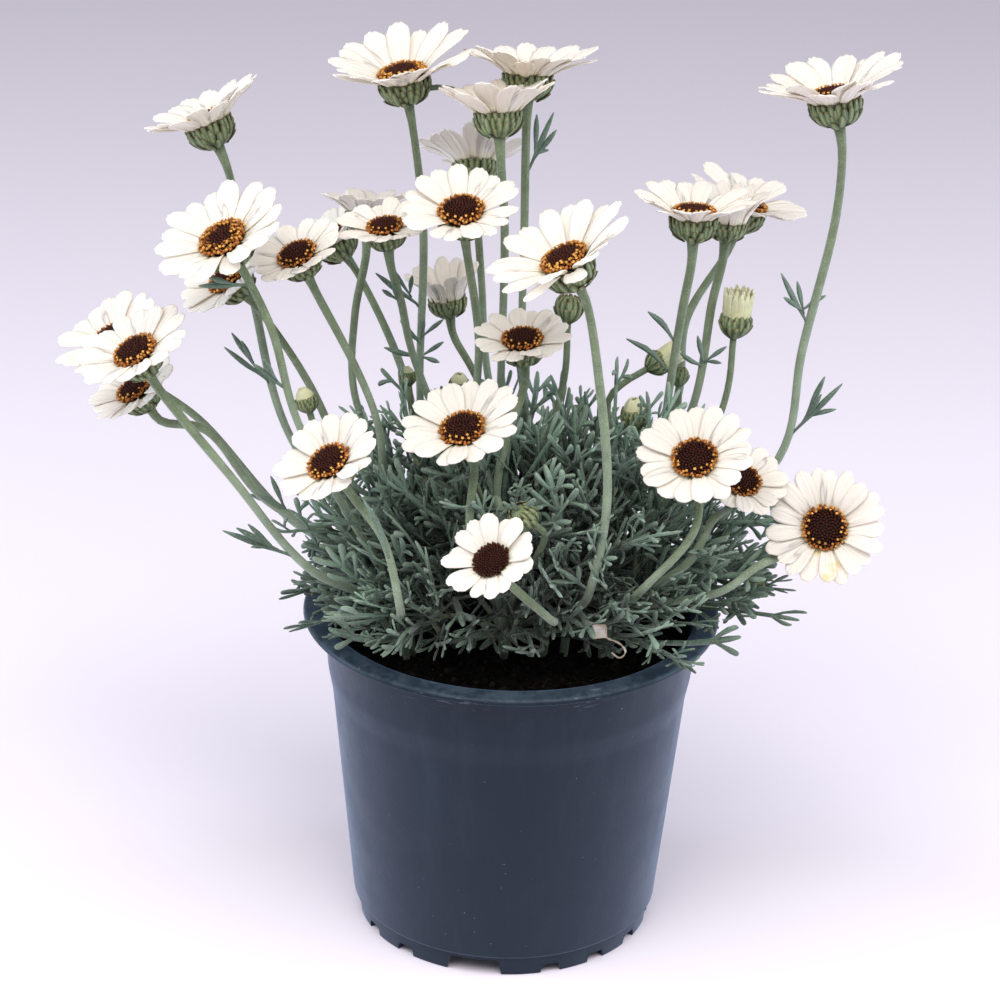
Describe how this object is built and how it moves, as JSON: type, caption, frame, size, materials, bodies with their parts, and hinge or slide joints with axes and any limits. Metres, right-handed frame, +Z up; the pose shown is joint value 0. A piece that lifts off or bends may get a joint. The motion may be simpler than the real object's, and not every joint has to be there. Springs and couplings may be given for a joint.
{
  "type": "potted moroccan daisy",
  "caption": "Moroccan daisy in a black nursery pot: a cushion of cut grey-green leaves under white daisies with dark middles on long felted stems.",
  "frame": {"origin": "under the middle of the whole plant, at the surface that the pot stands on; the pot's own axis is 16 mm to the right of it and 1.5 mm behind it", "axes": "+Z up; -Y is the front, which the picture shows; +X to the right"},
  "size_m": [0.2559, 0.1665, 0.2798],
  "materials": {
    "pot": "black plastic with a dull blue-grey sheen, dusty at the lip",
    "soil": "dark damp peat with fibres and crumbs, as dense as light wood",
    "leaf": "grey-green leaves and stems with a soft felt",
    "petal": "matt white petals, cream at the root",
    "floret": "dark maroon florets with an orange outer ring"
  },
  "bodies": {
    "root": {"pot": "pot", "soil": "soil", "clump_back": "leaf", "clump_back_left": "leaf", "clump_back_right": "leaf", "clump_front": "leaf", "clump_front_left": "leaf", "clump_front_right": "leaf", "clump_left": "leaf", "clump_middle": "leaf", "clump_right": "leaf", "petals_01": "petal", "petals_02": "petal", "petals_03": "petal", "petals_04": "petal", "petals_05": "petal", "petals_06": "petal", "petals_07": "petal", "petals_08": "petal", "petals_09": "petal", "petals_10": "petal", "petals_11": "petal", "petals_12": "petal", "petals_13": "petal", "petals_14": "petal", "petals_15": "petal", "petals_16": "petal", "petals_17": "petal", "petals_18": "petal", "petals_19": "petal", "petals_20": "petal", "petals_21": "petal", "petals_22": "petal", "petals_23": "petal", "petals_24": "petal", "petals_25": "petal", "petals_26": "petal", "petals_27": "petal", "petals_28": "petal", "florets_02": "floret", "florets_03": "floret", "florets_04": "floret", "florets_05": "floret", "florets_06": "floret", "florets_10": "floret", "florets_11": "floret", "florets_12": "floret", "florets_14": "floret", "florets_15": "floret", "florets_16": "floret", "florets_17": "floret", "florets_18": "floret", "florets_20": "floret", "florets_21": "floret", "florets_22": "floret", "florets_23": "floret", "florets_24": "floret", "florets_25": "floret", "florets_26": "floret"}
  },
  "joints": []
}
